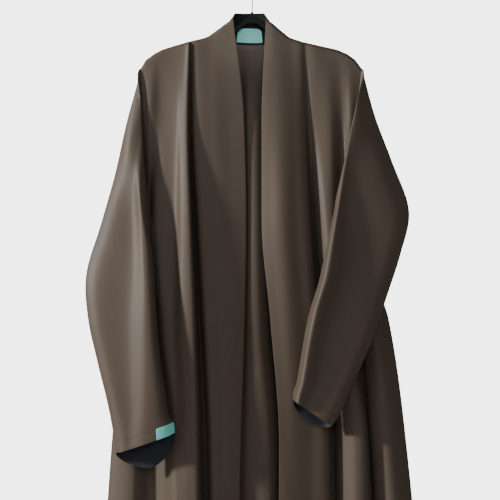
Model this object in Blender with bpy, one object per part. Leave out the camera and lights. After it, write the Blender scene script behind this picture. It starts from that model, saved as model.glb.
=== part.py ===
"""An open-fronted abaya cloak in plain crepe, hanging on a plain black hanger.

Tables are in millimetres, seen from the front: across is to the viewer's right of the hook,
forward is towards the viewer from the hanger's plane, and down is below the seat of the hook.
Right and left in a piece's name are the wearer's, so front_right is at the viewer's left.
"""

import bmesh
import bpy
import numpy as np

MM = 0.001

# Driving sizes
WALL = 1.6  # every wall of cloth
LINING_WALL = 1.1  # the facing and the labels
GAP = 0.3  # between two pieces that are sewn together
UNDERARM_DOWN = 470
HEM_DOWN = 1548
SHOULDER_ROUND = 8  # how far below the shoulder seam the cloth has turned over the hanger
NECK_ACROSS = (-80, 70)  # where the shoulder seams end
NECK_DROP = 20  # how far the back neck seam dips below the shoulder seams
NECK_BACK = 30  # how far the back neck seam lies behind them
BAND_ROWS = (0, 0.11, 0.33, 0.55, 0.78, 1)  # the collar's rows from its seam to its top
NECK_FRONT = 6  # how far forward the fronts' upper corners stand
BAND_TOP_DOWN = 85.5
BAND_TOP_HALF = 26  # half the width of the band's level top
BAND_TOP_BACK = 24
BAND_LEVEL = 0.72  # the share of the band, out from its middle, whose top is level
BAND_ROUND = 0.74  # how round its top is, seen from above
BAND_END_START = 0.05  # how far up its own ends the band starts, as a share
HANGER_HALF_THICK = 3
HANGER_HEIGHT = 11
HANGER_CLEAR = 2.3  # from the hanger to the middle of the cloth over it
HANGER_HALF_SPAN = 178
HANGER_STRAIGHT = 160  # past this the arms droop away from the shoulders
HANGER_DROOP = 120  # the larger, the less they droop
HANGER_NECK = ((9, 95), (30, 112), (50, 129), (70, 141))  # across and down on either side
HANGER_STEM = ((-4, 92), (-1.8, 84.5), (1.8, 84.5), (4, 92))  # the collar that holds the hook
TURN_OUT = 5  # how far a sleeve runs outwards before it rolls forward
TURN_FORWARD = 4
TURN_LEAST = 0.4  # the share of that at the shoulder
TURN_FADE = 3  # how many points from the shoulder it takes to reach all of it
HOOK_WIRE = 1.7  # the wire's radius
HOOK_INNER = 18  # the radius of the bend that hangs on a rod
HOOK_FOOT = ((0, 84.2), (0, 66), (0.6, 54), (3.4, 43.5))  # the wire below the bend
HOOK_TURN = (-62, 188)  # degrees, where the bend starts and where it ends

# The silhouette of the shoulders: how far down it lies at each place across
SHOULDER_LINE = (
    (-205, 189), (-196, 174), (-181, 163), (-166, 155), (-144, 148), (-118, 140.5),
    (-87, 133), (-72, 126), (-54, 111), (-35, 98), (26, 98), (43, 111), (59, 126),
    (70, 133), (93, 140.5), (126, 148), (157, 155), (176, 163), (191, 174), (202, 189),
)

# Every fold line has a place (across, forward) at its top and then at these depths below the hook
LEVELS = (285, UNDERARM_DOWN, 655, 880, HEM_DOWN)
# name, top, chest, underarm, hip, thigh, hem, columns up to the next line
FRONT_RIGHT_FOLDS = (
    ("side", (-205, 8), (-203, 13), (-194, 0), (-229, 0), (-259, 0), (-296, 0), 2),
    ("outer ridge", (-197, 8), (-195, 16), (-191, 8), (-212, 20), (-218, 21), (-248, 50), 2),
    ("outer valley", (-190, 8), (-190, 18), (-189, 8), (-192, 8), (-187, 5), (-198, -6), 2),
    ("slot", (-182, 8), (-185, 18), (-186, 10), (-176, 10), (-165, 14), (-168, 20), 2),
    ("beside the sleeve", (-172, 8), (-175, 16.5), (-178, 30), (-166, 40), (-143, 42), (-140, 76), 2),
    ("flank", (-148, 8), (-139, 22), (-141, 37), (-143, 42), (-131, 46), (-128, 79), 2),
    ("ridge", (-121, 11), (-127, 27.5), (-128, 53), (-126, 57), (-115, 51), (-112, 80), 2),
    ("lip", (-115, 13.5), (-115.5, 32), (-113, 57), (-106, 60), (-100, 50), (-90, 76), 2),
    ("under the lip", (-113.5, 9), (-114.5, 18), (-112, 22), (-104, 22), (-96, 16), (-86, 14), 2),
    ("inner valley", (-111.5, 7), (-111, 7), (-106, 2), (-97, 2), (-86, 0), (-76, 2), 2),
    ("panel edge", (-108, 9), (-107, 21), (-98, 30), (-87, 31), (-75, 28), (-65, 36), 2),
    ("panel", (-77, 8.5), (-72, 22), (-66, 31), (-60, 31), (-54, 27), (-55, 34), 2),
    ("near the edge", (-55, 9.5), (-41, 18), (-36, 27), (-35, 28), (-38, 25), (-46, 44), 2),
    ("edge", (-35, 9), (-15, 16), (-11, 23), (-14, 23), (-21, 21), (-33, 40), 0),
)
FRONT_LEFT_FOLDS = (
    ("edge", (26, 9), (18, 22), (18, 28), (34, 39), (50, 48), (41, 60), 2),
    ("roll", (37, 10), (30, 25), (31, 33), (46, 40.5), (60, 47), (55, 62), 2),
    ("soft ridge", (50, 9), (50, 27), (54, 40), (66, 43), (78, 44.5), (78, 56), 2),
    ("panel", (72, 8), (76, 22), (80, 34), (94, 36), (108, 37), (108, 44), 2),
    ("panel end", (88, 9), (95, 16), (105, 25), (120, 27), (140, 29), (147, 30), 2),
    ("deep valley", (98, 7), (105, 8), (113, 1), (128, -2), (149, -6), (158, -10), 2),
    ("foot", (104, 8), (112, 10.5), (121, 12), (138, 16), (164, 18), (172, 30), 2),
    ("ridge", (113, 11), (123, 15), (137, 28), (152, 36), (189, 38), (196, 68), 2),
    ("plateau", (136, 8), (144, 16), (153, 26), (170, 33), (208, 35), (226, 40), 2),
    ("outer valley", (154, 8), (161, 11), (165, 7), (194, 0), (217, -6), (248, -12), 2),
    ("outer foot", (164, 8), (170, 13), (170, 14), (202, 12), (221, 10), (262, 30), 2),
    ("outer ridge", (180, 8), (181, 15), (177, 14), (222, 24), (250, 27), (300, 62), 2),
    ("side", (202, 8), (193, 12), (187, 0), (253, 0), (285, 0), (345, 0), 0),
)
BACK_FOLDS = (
    ("right side", (-205, -8), (-203, -12), (-194, 0), (-229, 0), (-259, 0), (-296, 0), 3),
    ("right ridge", (-170, -8), (-174, -26), (-166, -36), (-186, -40), (-206, -48), (-238, -80), 3),
    ("right valley", (-128, -8), (-130, -40), (-128, -54), (-137, -62), (-152, -70), (-170, -44), 3),
    ("right neck point", (-80, -8), (-84, -32), (-86, -38), (-90, -42), (-96, -46), (-110, -92), 3),
    ("right of middle", (-44, -25), (-42, -14), (-38, -12), (-38, -12), (-44, -10), (-54, -56), 3),
    ("middle", (-5, -30), (-1, 8), (1, 20), (6, 21), (18, 15), (24, 0), 2),
    ("behind the opening", (22.3, -28), (20, 2), (22, 13), (28, 11), (42, 9), (52, -20), 1),
    ("left of middle", (36, -25), (42, -26), (48, -24), (58, -32), (78, -40), (98, -94), 3),
    ("left neck point", (70, -8), (86, -34), (96, -40), (111, -44), (131, -48), (158, -54), 3),
    ("left valley", (122, -8), (134, -42), (140, -54), (160, -64), (188, -72), (236, -96), 3),
    ("left ridge", (164, -8), (167, -26), (160, -34), (206, -40), (238, -48), (298, -52), 3),
    ("left side", (202, -8), (193, -12), (187, 0), (253, 0), (285, 0), (345, 0), 0),
)
# How far each row above and below the underarm lies along its part of the panel
ROWS_ABOVE = (0, 0.004, 0.012, 0.03, 0.08, 0.15, 0.24, 0.35, 0.47, 0.6, 0.74, 0.87, 1)
ROWS_BELOW = (0.06, 0.14, 0.23, 0.33, 0.44, 0.56, 0.69, 0.84, 1)

# The first fold of a sleeve, just outside the armhole: across, forward, down
RIGHT_SLEEVE_ROLL = (
    (-208, 7, 203), (-206, 20, 245), (-203, 27, 300), (-199, 33, 360), (-195, 34, 396),
    (-191, 34, 430), (-192, 30, 478), (-214, -6, 420), (-214, -12, 300),
)
LEFT_SLEEVE_ROLL = (
    (207, 6, 206), (197, 24, 245), (184, 32, 294), (173, 37, 345), (166, 42, 380),
    (161, 40, 414), (167, 40, 474), (206, 0, 420), (210, -12, 290),
)
# Further rings of each sleeve: the outer edge and the inner fold, each across, forward, down,
# then how deep the tube is, how far across its ridge runs, how high the ridge stands, how much
# lower the back hangs and how far forward the cloth stands just before the inner fold
RIGHT_SLEEVE_RINGS = (
    ((-231, 16, 292), (-187, 42, 500), 27, 0.62, 8, 0, 14),
    ((-252, 14, 385), (-180, 50, 552), 30, 0.74, 10, 0, 18),
    ((-277.5, 24, 478), (-176, 56, 618), 32, 0.83, 12, 0, 21),
    ((-304, 33, 572), (-171, 60, 690), 33, 0.84, 13, 0, 23),
    ((-300, 41, 650), (-164, 63, 745), 34, 0.80, 12, 0, 22),
    ((-282, 49, 730), (-157, 65, 790), 34, 0.72, 11, 0, 21),
    ((-261.5, 56, 812), (-150, 66, 830), 34, 0.62, 9, 0, 19),
    ((-250, 60, 876), (-142, 67, 838), 34, 0.52, 7, 12, 17),
    ((-248, 61, 896), (-139, 67, 857), 34, 0.50, 7, 49, 16),
)
LEFT_SLEEVE_RINGS = (
    ((228, 5, 281), (147, 54, 470), 24, 0.90, 6, 0, 9.6),
    ((258, 10, 362), (135, 62, 522), 28, 0.92, 9, 0, 11.2),
    ((289, 18, 455), (121, 69, 585), 32, 0.93, 12, 0, 12.8),
    ((273, 32, 530), (104, 72, 640), 34, 0.93, 13, 0, 13.6),
    ((247, 44, 608), (94, 73, 690), 36, 0.93, 13, 0, 14.4),
    ((219, 53, 690), (87, 73, 732), 38, 0.92, 12, 0, 15.2),
    ((184, 61, 768), (80, 73, 770), 40, 0.90, 11, 0, 16),
    ((157, 65, 828), (76, 73, 780), 42, 0.88, 9, 6, 16.8),
    ((145, 66, 845), (74, 73, 796), 42, 0.88, 9, 24, 16.8),
)
SLEEVE_STEPS = 2  # rows of the mesh from one ring to the next
LOOP_STEPS = (2, 2, 2, 2, 2, 3, 3, 4, 4)  # columns between the nine lines of a sleeve

# Where the labels lie on the grids of the pieces below them
NECK_LABEL_ROWS = slice(2, 5)
NECK_LABEL_COLUMNS = (3, 4, 5, 6, 7)
NECK_LABEL_DROP = (0.6, 0.12, 0, 0.12, 0.6)  # how far its rounded top falls at each column
CUFF_LABEL_ROWS = slice(-2, None)
CUFF_LABEL_COLUMNS = (7, 8, 9, 9.4)


def seat(across, forward, down):
    """A place in the tables' terms as a point in millimetres, X right, Y away and Z up."""
    return np.array([across, -forward, -down], float)


def eased(places, values, at):
    """Values read off a smooth curve that never overshoots its own points."""
    x, y, at = np.asarray(places, float), np.asarray(values, float), np.asarray(at, float)
    step = np.diff(x)
    slope = np.diff(y) / step
    tangent = np.empty(len(x))
    tangent[0], tangent[-1] = slope[0], slope[-1]
    same_way = slope[:-1] * slope[1:] > 0
    tangent[1:-1] = np.where(
        same_way, 2 * slope[:-1] * slope[1:] / np.where(same_way, slope[:-1] + slope[1:], 1), 0
    )
    i = np.clip(np.searchsorted(x, at, side="right") - 1, 0, len(step) - 1)
    t = np.clip((at - x[i]) / step[i], 0, 1)
    return (
        y[i] * (1 + 2 * t) * (1 - t) ** 2
        + y[i + 1] * t * t * (3 - 2 * t)
        + step[i] * (tangent[i] * t * (1 - t) ** 2 - tangent[i + 1] * t * t * (1 - t))
    )


def spline(points, steps, before, after):
    """Points on a smooth curve through the given ones, with steps[i] spans from one to the next."""
    q = np.vstack([before, points, after]).astype(float)
    knots = np.concatenate([[0], np.cumsum(np.linalg.norm(np.diff(q, axis=0), axis=1) ** 0.5)])
    made = []
    for i, count in enumerate(steps):
        t = np.linspace(knots[i + 1], knots[i + 2], count, endpoint=False)[:, None]
        a = [
            ((knots[j + 1] - t) * q[j] + (t - knots[j]) * q[j + 1]) / (knots[j + 1] - knots[j])
            for j in range(i, i + 3)
        ]
        b = [
            ((knots[j + 2] - t) * a[j - i] + (t - knots[j]) * a[j - i + 1]) / (knots[j + 2] - knots[j])
            for j in range(i, i + 2)
        ]
        span = knots[i + 2] - knots[i + 1]
        made.append(((knots[i + 2] - t) * b[0] + (t - knots[i + 1]) * b[1]) / span)
    return np.vstack([*made, q[len(steps) + 1]])


def shoulder_down(across):
    """How far down the shoulder seam or the fronts' upper edge lies."""
    places, downs = zip(*SHOULDER_LINE)
    return np.interp(across, places, downs)


def neck_share(across):
    """Nought at the neck points and one at the middle of the back neck, along a half round."""
    middle, half = sum(NECK_ACROSS) / 2, (NECK_ACROSS[1] - NECK_ACROSS[0]) / 2
    return np.sqrt(np.clip(1 - ((across - middle) / half) ** 2, 0, 1))


def front_top(across):
    """A point on a front's upper edge, which leans forward past the neck point."""
    left, right = NECK_ACROSS
    corner = FRONT_RIGHT_FOLDS[-1][1][0] if across < 0 else FRONT_LEFT_FOLDS[0][1][0]
    neck = left if across < 0 else right
    lean = np.clip((across - neck) / (corner - neck), 0, 1)
    return seat(across, NECK_FRONT * lean, shoulder_down(across))


def back_top(across):
    """A point on the back's upper edge, which dips and goes back round the neck."""
    share = neck_share(across)
    left, right = NECK_ACROSS
    level = np.interp(across, NECK_ACROSS, shoulder_down(np.array(NECK_ACROSS)))
    down = level + NECK_DROP * share if left < across < right else shoulder_down(across)
    return seat(across, -NECK_BACK * share, down)


def fold_rows(fold, top):
    """One fold line as a point for each row of its panel."""
    forward_top = fold[1][1]
    places = [(-top[2], fold[1][0], forward_top), *((d, *p) for d, p in zip(LEVELS, fold[2:7]))]
    downs, across, forward = zip(*places)
    above = downs[0] + np.array(ROWS_ABOVE) * (UNDERARM_DOWN - downs[0])
    below = UNDERARM_DOWN + np.array(ROWS_BELOW) * (HEM_DOWN - UNDERARM_DOWN)
    rows = np.concatenate([above, below])
    turned = np.sqrt(1 - (1 - np.clip((rows - downs[0]) / SHOULDER_ROUND, 0, 1)) ** 2)
    seam_forward = -top[1]
    out = seam_forward + (eased(downs, forward, rows) - seam_forward) * turned
    return np.stack([eased(downs, across, rows), -out, -rows], axis=1)


def beyond(edge, inside, other, row):
    """Where a panel would go on past its side edge: outwards above the underarm, and below it
    round into the panel that it is sewn to."""
    outwards = 2 * edge - inside
    last = len(ROWS_ABOVE) - 1
    share = np.clip((last - row) / 3, 0, 1)
    return share * outwards + (1 - share) * other


def panel(folds, top, other_sides, forward_side):
    """A panel's points, a row for each height and a column across, with sewn edges parted."""
    lines = [fold_rows(fold, top(fold[1][0])) for fold in folds]
    steps = [fold[7] for fold in folds[:-1]]
    rows = []
    for row in range(len(lines[0])):
        points = np.array([line[row] for line in lines])
        ends = []
        for edge, inside, others in ((0, 1, other_sides[0]), (-1, -2, other_sides[1])):
            if others is None:
                ends.append(2 * points[edge] - points[inside])
            else:
                ends.append(beyond(points[edge], points[inside], others[row], row))
        rows.append(spline(points, steps, *ends))
    grid = np.array(rows)
    fade = (1 - np.array(ROWS_ABOVE)) ** 2
    for column in range(grid.shape[1]):
        seam = top(grid[0, column, 0])
        if not NECK_ACROSS[0] < seam[0] < NECK_ACROSS[1]:
            grid[: len(fade), column, 2] += fade * (seam[2] - grid[0, column, 2])
        grid[0, column] = seam
    grid[0, :, 1] -= forward_side * GAP / 2
    below = slice(len(ROWS_ABOVE) - 1, None)
    for edge, others in ((0, other_sides[0]), (-1, other_sides[1])):
        if others is not None:
            grid[below, edge, 1] -= forward_side * GAP / 2
    return grid


def normals(grid, closed):
    """The unit normal at each point of a grid, whose columns meet again when it is closed."""
    down = np.gradient(grid, axis=0)
    if closed:
        along = (np.roll(grid, -1, axis=1) - np.roll(grid, 1, axis=1)) / 2
    else:
        along = np.gradient(grid, axis=1)
    n = np.cross(down, along)
    return n / np.linalg.norm(n, axis=2, keepdims=True)


def wall_mesh(name, grid, normal, closed=False, thick=WALL):
    """A closed wall round a grid of points, cut into the same triangles on both its faces."""
    rows, columns = grid.shape[:2]
    middle = grid.reshape(-1, 3)
    outer, inner = grid + normal * thick / 2, grid - normal * thick / 2
    points = np.concatenate([outer.reshape(-1, 3), inner.reshape(-1, 3)])
    back = rows * columns
    faces = []

    def number(row, column):
        return row * columns + column % columns

    for row in range(rows - 1):
        for column in range(columns if closed else columns - 1):
            a, b = number(row, column), number(row, column + 1)
            c, d = number(row + 1, column + 1), number(row + 1, column)
            shorter = np.linalg.norm(middle[a] - middle[c]) < np.linalg.norm(middle[b] - middle[d])
            for tri in ((a, d, c), (a, c, b)) if shorter else ((a, d, b), (b, d, c)):
                faces.append(tri)
                faces.append(tuple(back + i for i in reversed(tri)))
    rims = [(range(columns), 0), (range(columns), rows - 1)]
    for along, row in rims:
        for column in along if closed else along[:-1]:
            a, b = number(row, column), number(row, column + 1)
            if row:
                a, b = b, a
            faces += [(a, b, back + b), (a, back + b, back + a)]
    if not closed:
        for column in (0, columns - 1):
            for row in range(rows - 1):
                a, b = number(row, column), number(row + 1, column)
                if not column:
                    a, b = b, a
                faces += [(a, b, back + b), (a, back + b, back + a)]
    mesh = bpy.data.meshes.new(name)
    mesh.from_pydata((points * MM).tolist(), [], faces)
    return mesh


def facing_out(mesh):
    """Turns every face over when the mesh is inside out."""
    mesh.calc_loop_triangles()
    corners = np.array([[mesh.vertices[v].co for v in t.vertices] for t in mesh.loop_triangles])
    volume = np.einsum("ij,ij->i", corners[:, 0], np.cross(corners[:, 1], corners[:, 2])).sum()
    if volume < 0:
        mesh.flip_normals()
    return mesh


def material(name, colour, roughness, metallic=0.0):
    """A plain finish."""
    made = bpy.data.materials.new(name)
    made.use_nodes = True
    shader = made.node_tree.nodes["Principled BSDF"]
    shader.inputs["Base Color"].default_value = (*colour, 1)
    shader.inputs["Roughness"].default_value = roughness
    shader.inputs["Metallic"].default_value = metallic
    return made


def add(name, mesh, finish):
    """Puts a mesh in the scene as one named piece, smooth but for its sharp edges."""
    mesh = facing_out(mesh)
    mesh.shade_smooth()
    mesh.set_sharp_from_angle(angle=0.7)
    mesh.materials.append(finish)
    piece = bpy.data.objects.new(name, mesh)
    bpy.context.scene.collection.objects.link(piece)
    return piece


def square_up(edge):
    """Unit vectors across a seam's edge that lean neither forward nor back."""
    up = np.cross(np.gradient(edge, axis=0), [0, 1, 0])
    up /= np.linalg.norm(up, axis=1, keepdims=True)
    return up * np.sign(up[:, 2:])


def sewn_normals(grid, sense, open_neck=False):
    """Normals whose top row stands square to the shoulder seam, so that two edges meet flat.
    The back's top row keeps its own normals round the neck."""
    normal = sense * normals(grid, False)
    across = grid[0, :, 0]
    left, right = NECK_ACROSS
    seam = (across < left + 1) | (across > right - 1) | (not open_neck)
    normal[0, seam] = square_up(grid[0])[seam]
    return normal


def meet_at_side(first, first_edge, second, second_edge):
    """Gives two panels the same normals down the side seam that they share."""
    below = slice(len(ROWS_ABOVE) - 1, None)
    both = first[below, first_edge] + second[below, second_edge]
    both /= np.linalg.norm(both, axis=1, keepdims=True)
    first[below, first_edge], second[below, second_edge] = both, both


def ring_lines(station):
    """The nine lines of a sleeve where they cross one ring: five across its front, its inner
    fold, the hollow under that, and two across its back."""
    outer, inner, depth, ridge_at, ridge_high, back_hang, fold_high = station
    outer, inner = seat(*outer), seat(*inner)

    def place(share, forward, lower=0):
        return outer + share * (inner - outer) + np.array([0, -forward, -lower])

    front, behind = depth / 2, -depth / 2
    return np.array([
        outer,
        place(0.12, front * 0.8),
        place(ridge_at - 0.24, front),
        place(ridge_at, front + ridge_high),
        place(0.75 + ridge_at / 4, fold_high),
        place(1.0, 0),
        place(0.93, behind * 0.9, back_hang * 0.6),
        place(0.6, behind, back_hang),
        place(0.15, behind * 0.8, back_hang * 0.45),
    ])


def round_ring(points):
    """A sleeve's ring as a closed loop of mesh points through its nine lines."""
    loop = spline(np.vstack([points, points[:1]]), LOOP_STEPS, points[-1], points[1])
    return loop[:-1]


def sleeve(armhole, turned, roll, rings):
    """A sleeve's points, a row for each ring from the armhole to the cuff."""
    stations = [armhole, turned, round_ring(np.array([seat(*p) for p in roll]))]
    stations += [round_ring(ring_lines(ring)) for ring in rings]
    stations = np.array(stations)
    steps = [1, *[SLEEVE_STEPS] * (len(stations) - 3), 1]
    lines = []
    for column in range(stations.shape[1]):
        line = stations[:, column]
        lines.append(spline(line, steps, 2 * line[0] - line[1], 2 * line[-1] - line[-2]))
    return np.array(lines).transpose(1, 0, 2)


def armhole_ring(front, front_edge, back, back_edge, outwards):
    """The sleeve's first ring: down the front panel's edge and up the back's, and parted from
    both, by the wall too where it passes over the side seam."""
    last = len(ROWS_ABOVE) - 1
    down, up = front[: last + 1, front_edge].copy(), back[: last + 1, back_edge].copy()
    shoulder, underarm = (down[0] + up[0]) / 2, (down[last] + up[last]) / 2
    ring = np.vstack([[shoulder], down[1:last], [underarm], up[last - 1:0:-1]])
    parting = np.full(len(ring), GAP)
    parting[last - 2:last + 3] = GAP + WALL
    ring[:, 0] += outwards * parting
    return ring


def turned_ring(ring, outwards):
    """The sleeve's second ring: a little way outwards, and forward of the front's edge."""
    last = len(ROWS_ABOVE) - 1
    places = np.arange(len(ring))
    end = len(ring)
    front = np.interp(places, [0, TURN_FADE, last - 1, last + 1, end], [0, 1, 1, 0, 0])
    out = np.interp(places, [0, TURN_FADE, end - TURN_FADE, end], [TURN_LEAST, 1, 1, TURN_LEAST])
    away = [outwards * TURN_OUT * out, -TURN_FORWARD * front, -TURN_OUT * (1 - out)]
    return ring + np.stack(away, axis=1)


def sleeve_normals(grid, sense, front_normal, front_edge, back_normal, back_edge):
    """A sleeve's normals, which match the body's round the armhole."""
    normal = sense * normals(grid, True)
    last = len(ROWS_ABOVE) - 1
    down, up = front_normal[: last + 1, front_edge], back_normal[: last + 1, back_edge]
    normal[0, :last] = down[:last]
    normal[0, last + 1:] = up[last - 1:0:-1]
    normal[0, last] = (0, 0, -1)
    return normal


def band(back_grid, neck_columns):
    """The collar's points: from the back neck seam up to its level top, with its ends along
    the fronts' upper edges."""
    bottom = back_grid[0, neck_columns].copy()
    share = np.linspace(-1, 1, len(bottom))
    level = np.minimum(np.abs(share), BAND_LEVEL)
    ending = (np.abs(share) - level) / (1 - BAND_LEVEL)
    right, left = (front_top(fold[1][0]) for fold in (FRONT_RIGHT_FOLDS[-1], FRONT_LEFT_FOLDS[0]))
    middle, half = (right[0] + left[0]) / 2, (left[0] - right[0]) / 2
    out = level / BAND_LEVEL * BAND_TOP_HALF + ending * (half - BAND_TOP_HALF)
    behind = BAND_TOP_BACK * np.sqrt(1 - BAND_ROUND * level ** 2)
    away = (1 - ending) * behind + ending * left[1]
    height = -BAND_TOP_DOWN + ending ** 2 * (left[2] + BAND_TOP_DOWN)
    top = np.stack([middle + np.sign(share) * out, away, height], axis=1)
    rows = np.array([bottom + (top - bottom) * t for t in BAND_ROWS])
    rows[0, 1:-1, 2] += GAP
    for end in (0, -1):
        rows[0, end] += (top[end] - bottom[end]) * BAND_END_START
    rows[:, (0, -1), 1] += GAP / 2
    return rows[::-1]


def band_normals(collar, back_normal, neck_columns):
    """The collar's normals, which match the back's along their seam and stand square to the
    fronts' upper edges at the ends."""
    normal = -normals(collar, False)
    normal[-1] = back_normal[0, neck_columns]
    for end in (0, -1):
        normal[:, end] = square_up(collar[:, end])
    return normal


def hanger_outline():
    """The hanger seen from the front, as a closed loop of (across, down)."""
    out = np.linspace(HANGER_NECK[-1][0] + 20, HANGER_HALF_SPAN, 12)
    droop = HANGER_CLEAR + np.clip(out - HANGER_STRAIGHT, 0, None) ** 2 / HANGER_DROOP
    arms = {}
    for side in (-1, 1):
        neck = [(side * x, d) for x, d in HANGER_NECK]
        arms[side] = neck + list(zip(side * out, shoulder_down(side * out) + droop))
    lower = [(x, d + HANGER_HEIGHT) for x, d in arms[1][::-1] + arms[-1]]
    return arms[-1][::-1] + list(HANGER_STEM) + arms[1] + lower


def hanger_mesh():
    """The hanger's outline made as thick as it is and eased along its edges."""
    outline = hanger_outline()
    shape = bmesh.new()
    corners = [shape.verts.new(seat(x, HANGER_HALF_THICK, d) * MM) for x, d in outline]
    face = shape.faces.new(corners)
    grown = bmesh.ops.extrude_face_region(shape, geom=[face])
    moved = [v for v in grown["geom"] if isinstance(v, bmesh.types.BMVert)]
    bmesh.ops.translate(shape, verts=moved, vec=(0, 2 * HANGER_HALF_THICK * MM, 0))
    bmesh.ops.recalc_face_normals(shape, faces=shape.faces)
    mesh = bpy.data.meshes.new("hanger")
    shape.to_mesh(mesh)
    shape.free()
    return mesh


def hook_points():
    """The middle of the hook's wire, from the stem up and round to its open tip."""
    radius = HOOK_INNER + HOOK_WIRE
    turn = np.radians(np.linspace(*HOOK_TURN, 26))
    bend = [(radius * np.cos(a), HOOK_INNER - radius * np.sin(a)) for a in turn]
    return [seat(x, 0, d) * MM for x, d in [*HOOK_FOOT, *bend]]


def hook_object(finish):
    """The hook as a round wire with flat ends."""
    curve = bpy.data.curves.new("hook", "CURVE")
    curve.dimensions = "3D"
    curve.bevel_depth = HOOK_WIRE * MM
    curve.bevel_resolution = 2
    curve.use_fill_caps = True
    points = hook_points()
    line = curve.splines.new("POLY")
    line.points.add(len(points) - 1)
    for point, place in zip(line.points, points):
        point.co = (*place, 1)
    curve.materials.append(finish)
    hook = bpy.data.objects.new("hook", curve)
    bpy.context.scene.collection.objects.link(hook)
    return hook


def patch(grid, normal, rows, places, side=1, wall_below=WALL):
    """Part of a panel's own points, moved out to lie on its face. Places are column numbers,
    and one between two columns lies on the straight line between their points."""
    low = np.floor(places).astype(int)
    high = np.minimum(low + 1, grid.shape[1] - 1)
    share = (np.asarray(places) - low)[None, :, None]
    part = (1 - share) * grid[rows][:, low] + share * grid[rows][:, high]
    away = (1 - share) * normal[rows][:, low] + share * normal[rows][:, high]
    away *= side / np.linalg.norm(away, axis=2, keepdims=True)
    return part + away * (wall_below / 2 + GAP + LINING_WALL / 2), away


def build():
    """Makes every piece, from the body panels outwards."""
    for piece in list(bpy.data.objects):
        bpy.data.objects.remove(piece)
    crepe = material("crepe", (0.155, 0.122, 0.096), 0.62)
    black = material("black cloth", (0.008, 0.008, 0.009), 0.7)
    woven = material("label", (0.33, 0.62, 0.60), 0.6)
    plastic = material("black plastic", (0.012, 0.012, 0.013), 0.4)
    steel = material("steel", (0.62, 0.62, 0.64), 0.3, 1.0)

    back_lines = [fold_rows(fold, back_top(fold[1][0])) for fold in BACK_FOLDS]
    right_lines = [fold_rows(fold, front_top(fold[1][0])) for fold in FRONT_RIGHT_FOLDS]
    left_lines = [fold_rows(fold, front_top(fold[1][0])) for fold in FRONT_LEFT_FOLDS]
    back = panel(BACK_FOLDS, back_top, (right_lines[1], left_lines[-2]), -1)
    front_right = panel(FRONT_RIGHT_FOLDS, front_top, (back_lines[1], None), 1)
    front_left = panel(FRONT_LEFT_FOLDS, front_top, (None, back_lines[-2]), 1)

    back_normal = sewn_normals(back, -1, open_neck=True)
    right_normal, left_normal = sewn_normals(front_right, 1), sewn_normals(front_left, 1)
    meet_at_side(right_normal, 0, back_normal, 0)
    meet_at_side(left_normal, -1, back_normal, -1)
    add("back", wall_mesh("back", back, back_normal), crepe)
    add("front_right", wall_mesh("front_right", front_right, right_normal), crepe)
    add("front_left", wall_mesh("front_left", front_left, left_normal), crepe)

    right_hole = armhole_ring(front_right, 0, back, 0, -1)
    right = sleeve(right_hole, turned_ring(right_hole, -1), RIGHT_SLEEVE_ROLL, RIGHT_SLEEVE_RINGS)
    out_right = sleeve_normals(right, 1, right_normal, 0, back_normal, 0)
    add("sleeve_right", wall_mesh("sleeve_right", right, out_right, closed=True), crepe)
    left_hole = armhole_ring(front_left, -1, back, -1, 1)
    left = sleeve(left_hole, turned_ring(left_hole, 1), LEFT_SLEEVE_ROLL, LEFT_SLEEVE_RINGS)
    out_left = sleeve_normals(left, -1, left_normal, -1, back_normal, -1)
    add("sleeve_left", wall_mesh("sleeve_left", left, out_left, closed=True), crepe)

    names = [fold[0] for fold in BACK_FOLDS]
    points = [names.index("right neck point"), names.index("left neck point")]
    first, last = (sum(fold[7] for fold in BACK_FOLDS[:point]) for point in points)
    neck_columns = slice(first, last + 1)
    collar = band(back, neck_columns)
    collar_normal = band_normals(collar, back_normal, neck_columns)
    add("collar", wall_mesh("collar", collar, collar_normal), crepe)

    inside = np.arange(1, collar.shape[1] - 1)
    facing, facing_normal = patch(collar, collar_normal, slice(None), inside, side=-1)
    mesh = wall_mesh("back_neck_facing", facing, facing_normal, thick=LINING_WALL)
    add("back_neck_facing", mesh, black)
    label, label_normal = patch(
        facing, facing_normal, NECK_LABEL_ROWS, NECK_LABEL_COLUMNS, wall_below=LINING_WALL
    )
    label[0] += np.array(NECK_LABEL_DROP)[:, None] * (label[1] - label[0])
    add("neck_label", wall_mesh("neck_label", label, label_normal, thick=LINING_WALL), woven)
    label, label_normal = patch(right, out_right, CUFF_LABEL_ROWS, CUFF_LABEL_COLUMNS)
    add("cuff_label", wall_mesh("cuff_label", label, label_normal, thick=LINING_WALL), woven)

    add("hanger", hanger_mesh(), plastic)
    hook_object(steel)


build()
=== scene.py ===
"""The looks of an open-fronted abaya cloak in plain crepe, hanging on a plain black hanger.

Tables are in millimetres, seen from the front: across is to the viewer's right of the hook,
forward is towards the viewer from the hanger's plane, and down is below the seat of the hook.
Right and left in a piece's name are the wearer's, so front_right is at the viewer's left.
"""

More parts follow.
